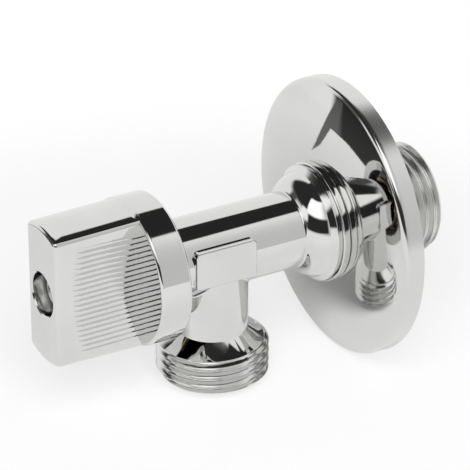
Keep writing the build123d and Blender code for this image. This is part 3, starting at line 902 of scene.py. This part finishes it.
class VALVE_OT_handle(Operator):
    """Casts the chromed handle with its grip grooves"""

    bl_idname = "valve.handle"
    bl_label = "Handle"

    def flat_columns(self, grip):
        """Heights of the mesh columns on a flat, crowded at each groove's edges."""
        flat_half = math.sqrt(PADDLE_FRONT_R**2 - PADDLE_FLAT**2)
        reach = flat_half - grip.edge_margin
        count = int(2 * reach / grip.pitch) + 1
        half_width = math.sqrt(grip.cutter_radius**2 - (grip.cutter_radius - grip.depth) ** 2)
        columns = []
        for index in range(count):
            middle = (index - (count - 1) / 2) * grip.pitch
            columns += [middle + share * half_width for share in COLUMN_SHARES]
        return columns, count, reach

    def outline(self, radius, inset, columns):
        """Front view of the paddle: two flats and two arcs with rounded corners, drawn inwards by inset."""
        edge = PADDLE_EDGE - inset
        flat = PADDLE_FLAT - inset
        corner_x = flat - edge
        corner_z = math.sqrt((radius - inset - edge) ** 2 - corner_x**2)
        lean = math.degrees(math.atan2(corner_z, corner_x))
        quarter = arc((corner_x, corner_z), edge, 0, lean, steps=8)
        top = arc((0, 0), radius - inset, lean, 180 - lean, steps=32)
        rise = [(flat, height) for height in columns]
        right = [(flat, -corner_z)] + rise + quarter
        left = [(-x, z) for x, z in quarter[::-1]] + [(-x, z) for x, z in rise[::-1]] + [(-flat, -corner_z)]
        upper = right + top[1:-1] + left
        lower_left = [(-x, -z) for x, z in quarter[1:]]
        bottom = [(-x, -z) for x, z in top[1:-1]]
        lower_right = [(x, -z) for x, z in quarter[:0:-1]]
        return upper + lower_left + bottom + lower_right

    def paddle(self, grip, columns):
        """The tapering paddle with a rounded front edge, closely meshed where the grooves fade."""
        edge_steps, fade_steps, rear_steps = 7, 40, 8
        stations = []
        for step in range(edge_steps + 1):
            angle = math.radians(90 * step / edge_steps)
            inset = PADDLE_FRONT_EDGE * (1 - math.sin(angle))
            stations.append((HANDLE_FRONT + PADDLE_FRONT_EDGE * (1 - math.cos(angle)), inset))
        fade_start = HANDLE_FRONT + grip.front_margin
        fade_end = fade_start + grip.front_arc + grip.fade * grip.depth / grip.cutter_radius
        for step in range(fade_steps + 1):
            stations.append((fade_start + (fade_end - fade_start) * step / fade_steps, 0))
        rear = COLLAR_FRONT + PADDLE_ROOT_DEPTH
        for step in range(1, rear_steps + 1):
            stations.append((fade_end + (rear - fade_end) * step / rear_steps, 0))
        sections = []
        for along, inset in stations:
            share = min((along - HANDLE_FRONT) / (COLLAR_FRONT - HANDLE_FRONT), 1.0)
            radius = PADDLE_FRONT_R + (PADDLE_ROOT_R - PADDLE_FRONT_R) * share
            sections.append([(x, along, z) for x, z in self.outline(radius, inset, columns)])
        return lofted("chromed_handle", sections)

    def collar(self):
        """The round collar with its rounded rim and its hollow behind."""
        profile = arc((COLLAR_R - COLLAR_RIM, COLLAR_FRONT + COLLAR_RIM), COLLAR_RIM, -90, 0, steps=10)
        rear_centre = (COLLAR_R - COLLAR_REAR_EDGE, COLLAR_REAR - COLLAR_REAR_EDGE)
        profile += arc(rear_centre, COLLAR_REAR_EDGE, 0, 90, steps=8)
        profile += [(HOLLOW_R, COLLAR_REAR), (HOLLOW_R, HOLLOW_FLOOR)]
        return turned("collar", profile)

    def core(self):
        """The screw recess, the screw hole and the spindle's socket as one cutting tool."""
        profile = [
            (RECESS_R + RECESS_EDGE + OVERSHOOT, HANDLE_FRONT - OVERSHOOT),
            (RECESS_R, HANDLE_FRONT + RECESS_EDGE),
            (RECESS_R, SCREW_SEAT),
            (SCREW_HOLE_R, SCREW_SEAT),
            (SCREW_HOLE_R, SOCKET_END),
            (SOCKET_R, SOCKET_END),
            (SOCKET_R, HOLLOW_FLOOR + OVERSHOOT),
        ]
        return turned("core", profile, SMALL_TURN_SEGMENTS)

    def execute(self, context):
        grip = context.scene.valve_grip
        # The hollow behind the collar gets painted shade; the screw recess is only duller
        zones = {"dull_zone": recess_zone, "painted_shade_zone": hollow_painted_shade}
        material = chrome("handle_chrome", clouds=80.0, relief=0.02, **zones)
        columns, count, reach = self.flat_columns(grip)
        piece = self.paddle(grip, columns)
        values = {
            "Row Offset": (count - 1) / 2 % 1,
            "Reach": reach,
            "Flat": PADDLE_FLAT - FLAT_MARGIN,
            "Front": HANDLE_FRONT + grip.front_margin,
            "Rear": COLLAR_FRONT,
            "Material": material,
        }
        run_tree(piece, grip_tree(), grip, values)
        combine(piece, self.collar(), "UNION")
        combine(piece, self.core(), "DIFFERENCE")
        polish(piece)
        dress(piece, material, "handle", "handle_chrome", "handle")
        return {"FINISHED"}


class VALVE_OT_headwork(Operator):
    """Finishes the screw, the headwork and its small pieces"""

    bl_idname = "valve.headwork"
    bl_label = "Screw and headwork"

    def execute(self, context):
        colours = context.scene.valve_colours
        # Each finish has its colour, its shade's share of that, metallic, gloss, cloud and grain scale, and relief
        finishes = {
            "screw_steel": (colours.steel, 0.7, 1.0, (0.45, 0.6), 400, 5000, 0.1),
            "spring_steel": (colours.steel, 0.6, 1.0, (0.2, 0.35), 300, 4000, 0.1),
            # Painted shade: this brass is darker than brass itself, for the hollow it sits in
            "turned_brass": (colours.brass, 0.8, 1.0, (0.2, 0.36), 250, 4000, 0.1),
            "pressed_fibre": (colours.fibre, 0.6, 0.0, (0.7, 0.9), 900, 6000, 0.5),
            "slip_plastic": (colours.plastic, 0.9, 0.0, (0.35, 0.5), 300, 3000, 0.1),
            "rubber": (colours.rubber, 0.6, 0.0, (0.45, 0.65), 500, 5000, 0.2),
            "ceramic": (colours.ceramic, 0.94, 0.0, (0.12, 0.25), 200, 3000, 0.05),
        }
        materials = {}
        for name, (colour, share, *rest) in finishes.items():
            materials[name] = finish(name, colour, darker(colour, share), *rest)
        finish_of = {
            "handle_screw": "screw_steel",
            "retaining_clip": "spring_steel",
            "headwork_body": "turned_brass",
            "spindle": "turned_brass",
            "headwork_gasket": "pressed_fibre",
            "thrust_washer": "slip_plastic",
            "spindle_o_ring_front": "rubber",
            "spindle_o_ring_rear": "rubber",
            "seat_seal": "rubber",
            "moving_ceramic_disc": "ceramic",
            "fixed_ceramic_disc": "ceramic",
        }
        for node, name in finish_of.items():
            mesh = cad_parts[node].data
            mesh.materials.clear()
            mesh.materials.append(materials[name])
        return {"FINISHED"}


class VALVE_OT_studio(Operator):
    """Sets the floor, the dark sheet on it, the room with its soft panels, the lamp and the camera"""

    bl_idname = "valve.studio"
    bl_label = "Studio"

    # What the chrome sees round it: the middle of each panel as azimuth and elevation, its width,
    # height, tilt and soft edge, all in degrees, and its brightness
    panels = (
        ("dark ceiling", (190, 84), (400, 40), 0, 6, 0.03),
        ("overhead flag", (92, 69), (92, 26), -5, 2.5, 0.025),
        ("dark front", (237, 56), (96, 54), 0, 12, 0.03),
        ("soft box", (312, 46), (64, 34), 0, 6, 1.5),
        ("bright edge", (273, 24), (18, 18), 0, 6, 1.2),
        ("grey side", (8, 22), (60, 80), 0, 30, 0.68),
        ("dark post", (232, 16), (20, 36), 0, 9, 0.1),
        ("dark corner", (232, -8), (22, 18), 0, 3, 0.02),
        ("dark skirting", (265, 3), (52, 12), 8, 6, 0.1),
        ("dark table", (317, 13), (64, 29), 0, 5, 0.03),
    )

    def panel_group(self):
        """How much of a panel is seen in a direction."""
        middle = ("Middle Azimuth", "Middle Elevation")
        inputs = ("Azimuth", "Elevation", *middle, "Width", "Height", "Tilt", "Softness")
        group, given, result = node_group("soft_panel", "ShaderNodeTree", inputs, ("Share",))
        calc = partial(calculate, group)
        aside = calc("SUBTRACT", given["Azimuth"], given["Middle Azimuth"])
        aside = calc("WRAP", aside, 180.0, -180.0)
        above = calc("SUBTRACT", given["Elevation"], given["Middle Elevation"])
        tilt = calc("RADIANS", given["Tilt"])
        cosine = calc("COSINE", tilt)
        sine = calc("SINE", tilt)
        across = calc("MULTIPLY_ADD", aside, cosine, calc("MULTIPLY", above, sine))
        along = calc("MULTIPLY", above, cosine)
        along = calc("SUBTRACT", along, calc("MULTIPLY", aside, sine))
        share = 1.0
        for offset, size in ((across, given["Width"]), (along, given["Height"])):
            half = calc("MULTIPLY", size, 0.5)
            room = calc("SUBTRACT", half, calc("ABSOLUTE", offset))
            room = calc("DIVIDE", room, given["Softness"])
            edge = map_range(group, room, (-0.5, 0.5), easing="SMOOTHSTEP")
            share = calc("MULTIPLY", edge, share)
        feed(group, result["Share"], share)
        return group

    def room(self, world, brightness):
        """A white room with soft dark and bright panels, plain white where the camera looks at it."""
        world.use_nodes = True
        tree = world.node_tree
        place = tree.nodes.new("ShaderNodeTexCoord")
        x, y, z = axes_of(tree, place.outputs["Generated"])
        azimuth = calculate(tree, "DEGREES", calculate(tree, "ARCTAN2", y, x))
        elevation = calculate(tree, "DEGREES", calculate(tree, "ARCSINE", z))
        group = self.panel_group()
        level = brightness
        for name, middle, size, tilt, softness, panel_level in self.panels:
            panel = tree.nodes.new("ShaderNodeGroup")
            panel.node_tree = group
            panel.label = name
            for socket, value in zip(panel.inputs, (azimuth, elevation, *middle, *size, tilt, softness)):
                feed(tree, socket, value)
            level = blend_values(tree, panel.outputs["Share"], level, panel_level)
        path = tree.nodes.new("ShaderNodeLightPath").outputs
        on_matt = calculate(tree, "MULTIPLY_ADD", path["Is Diffuse Ray"], ROOM_ON_MATT - 1.0, 1.0)
        level = calculate(tree, "MULTIPLY", level, on_matt)
        backdrop = tree.nodes["Background"].inputs
        feed(tree, backdrop["Strength"], blend_values(tree, path["Is Camera Ray"], level, 1.0))
        feed(tree, backdrop["Color"], (1.0, 1.0, 1.0, 1.0))

    def flat_sheet(self, name, corners, height):
        mesh = bpy.data.meshes.new(name)
        mesh.from_pydata([(x, y, height) for x, y in corners], [], [tuple(range(len(corners)))])
        return new_object(name, mesh)

    def matt_material(self, name, roughness):
        material, tree, surface = new_material(name)
        feed(tree, surface.inputs["Roughness"], roughness)
        feed(tree, surface.inputs["Specular IOR Level"], 0.0)
        return material, tree, surface

    def mix_shaders(self, tree, share, first, second):
        return new_node(tree, "ShaderNodeMixShader", {0: share, 1: first, 2: second}).outputs[0]

    def floor(self, colour):
        """A pale floor that keeps the valve's shadow and fades into the white room all round."""
        half = FLOOR_HALF
        low = cad_box[0][2] - FLOOR_GAP
        floor = self.flat_sheet("floor", ((-half, -half), (half, -half), (half, half), (-half, half)), low)
        material, tree, surface = self.matt_material("pale_floor", FLOOR_ROUGHNESS)
        calc = partial(calculate, tree)
        feed(tree, surface.inputs["Base Color"], (*colour, 1.0))
        glow = tree.nodes.new("ShaderNodeEmission").outputs[0]
        clear = tree.nodes.new("ShaderNodeBsdfTransparent").outputs[0]
        path = tree.nodes.new("ShaderNodeLightPath").outputs
        way = new_node(tree, "ShaderNodeVectorMath", {0: own_place(tree), 1: (0, OUTLET_Y, low)})
        way.operation = "DISTANCE"
        distance = way.outputs["Value"]
        in_view = calc("MULTIPLY", path["Is Camera Ray"], GLOW_SEEN)
        far_glow = calc("ADD", ramp(tree, distance, GLOW_START, GLOW_END, GLOW_FAR), GLOW_NEAR)
        in_metal = calc("MULTIPLY", path["Is Glossy Ray"], far_glow)
        glowing = calc("ADD", in_view, in_metal)
        lit = self.mix_shaders(tree, glowing, surface.outputs[0], glow)
        reach = calc("MULTIPLY_ADD", path["Is Camera Ray"], CAMERA_FADE_LEAD, distance)
        faded = self.mix_shaders(tree, ramp(tree, reach, FADE_START, FADE_END, 1.0), lit, clear)
        feed(tree, tree.nodes["Material Output"].inputs["Surface"], faded)
        floor.data.materials.append(material)

    def dark_table(self):
        """A dark sheet on the floor at the front left, seen only in the chrome and greyer towards the wall."""
        near_edge = ((-87, -160), (-127, -151), (-143, -128), (-91, -69), (-80, -54))
        outline = ((-900, -840), (-150, -1200), *near_edge)
        corners = [(x * MM, y * MM) for x, y in outline]
        table = self.flat_sheet("dark_table", corners, cad_box[0][2] + FLOOR_GAP)
        material, tree, surface = self.matt_material("dark_table", 1.0)
        x, y, _ = axes_of(tree, own_place(tree))
        aside = calculate(tree, "SUBTRACT", y, x)
        grey = ramp(tree, aside, SHEET_GREY_START, SHEET_GREY_END, SHEET_GREY_RISE)
        feed(tree, surface.inputs["Base Color"], calculate(tree, "ADD", grey, SHEET_BLACK))
        table.data.materials.append(material)
        table.visible_camera = False
        table.visible_shadow = False
        table.visible_diffuse = False

    def stand(self, name, data, place, target):
        """Puts up a lamp or a camera and aims it."""
        holder = new_object(name, data)
        holder.location = place
        sight = Vector(target) - holder.location
        holder.rotation_euler = sight.to_track_quat("-Z", "Y").to_euler()
        return holder

    def execute(self, context):
        scene = context.scene
        studio = scene.valve_studio
        scene.view_settings.view_transform = "Standard"
        if scene.world is None:
            scene.world = bpy.data.worlds.new("room")
        self.room(scene.world, studio.surround)
        self.floor(studio.floor)
        self.dark_table()
        lamp = bpy.data.lights.new("soft_lamp", "AREA")
        lamp.energy = studio.lamp_power
        lamp.size = LAMP_SIZE
        holder = self.stand("soft_lamp", lamp, LAMP_PLACE, (0, OUTLET_Y, 0))
        holder.visible_glossy = False
        camera = bpy.data.cameras.new("camera")
        camera.lens = studio.lens
        camera.clip_start = NEAR_CLIP
        scene.camera = self.stand("camera", camera, studio.camera_place, studio.camera_target)
        return {"FINISHED"}


class VALVE_PT_panel(Panel):
    """Lists the steps of the valve in the sidebar"""

    bl_idname = "VALVE_PT_panel"
    bl_label = "Angle valve"
    bl_space_type = "VIEW_3D"
    bl_region_type = "UI"
    bl_category = "Valve"

    def draw(self, context):
        scene = context.scene
        for group in (scene.valve_thread, scene.valve_grip, scene.valve_colours, scene.valve_studio):
            box = self.layout.box()
            for name in group.__annotations__:
                box.prop(group, name)
        for step in STEPS:
            self.layout.operator(step.bl_idname)


SETTINGS = {
    "valve_thread": ThreadSizes,
    "valve_grip": GripSizes,
    "valve_colours": FinishColours,
    "valve_studio": StudioSettings,
}
STEPS = (VALVE_OT_body, VALVE_OT_rosette, VALVE_OT_handle, VALVE_OT_headwork, VALVE_OT_studio)
CLASSES = (*SETTINGS.values(), *STEPS, VALVE_PT_panel)


def register():
    for item in CLASSES:
        bpy.utils.register_class(item)
    for name, group in SETTINGS.items():
        setattr(bpy.types.Scene, name, PointerProperty(type=group))


def unregister():
    for name in SETTINGS:
        delattr(bpy.types.Scene, name)
    for item in reversed(CLASSES):
        bpy.utils.unregister_class(item)


def main():
    register()
    bpy.ops.valve.body()
    bpy.ops.valve.rosette()
    bpy.ops.valve.handle()
    bpy.ops.valve.headwork()
    bpy.ops.valve.studio()


if __name__ == "__main__":
    main()
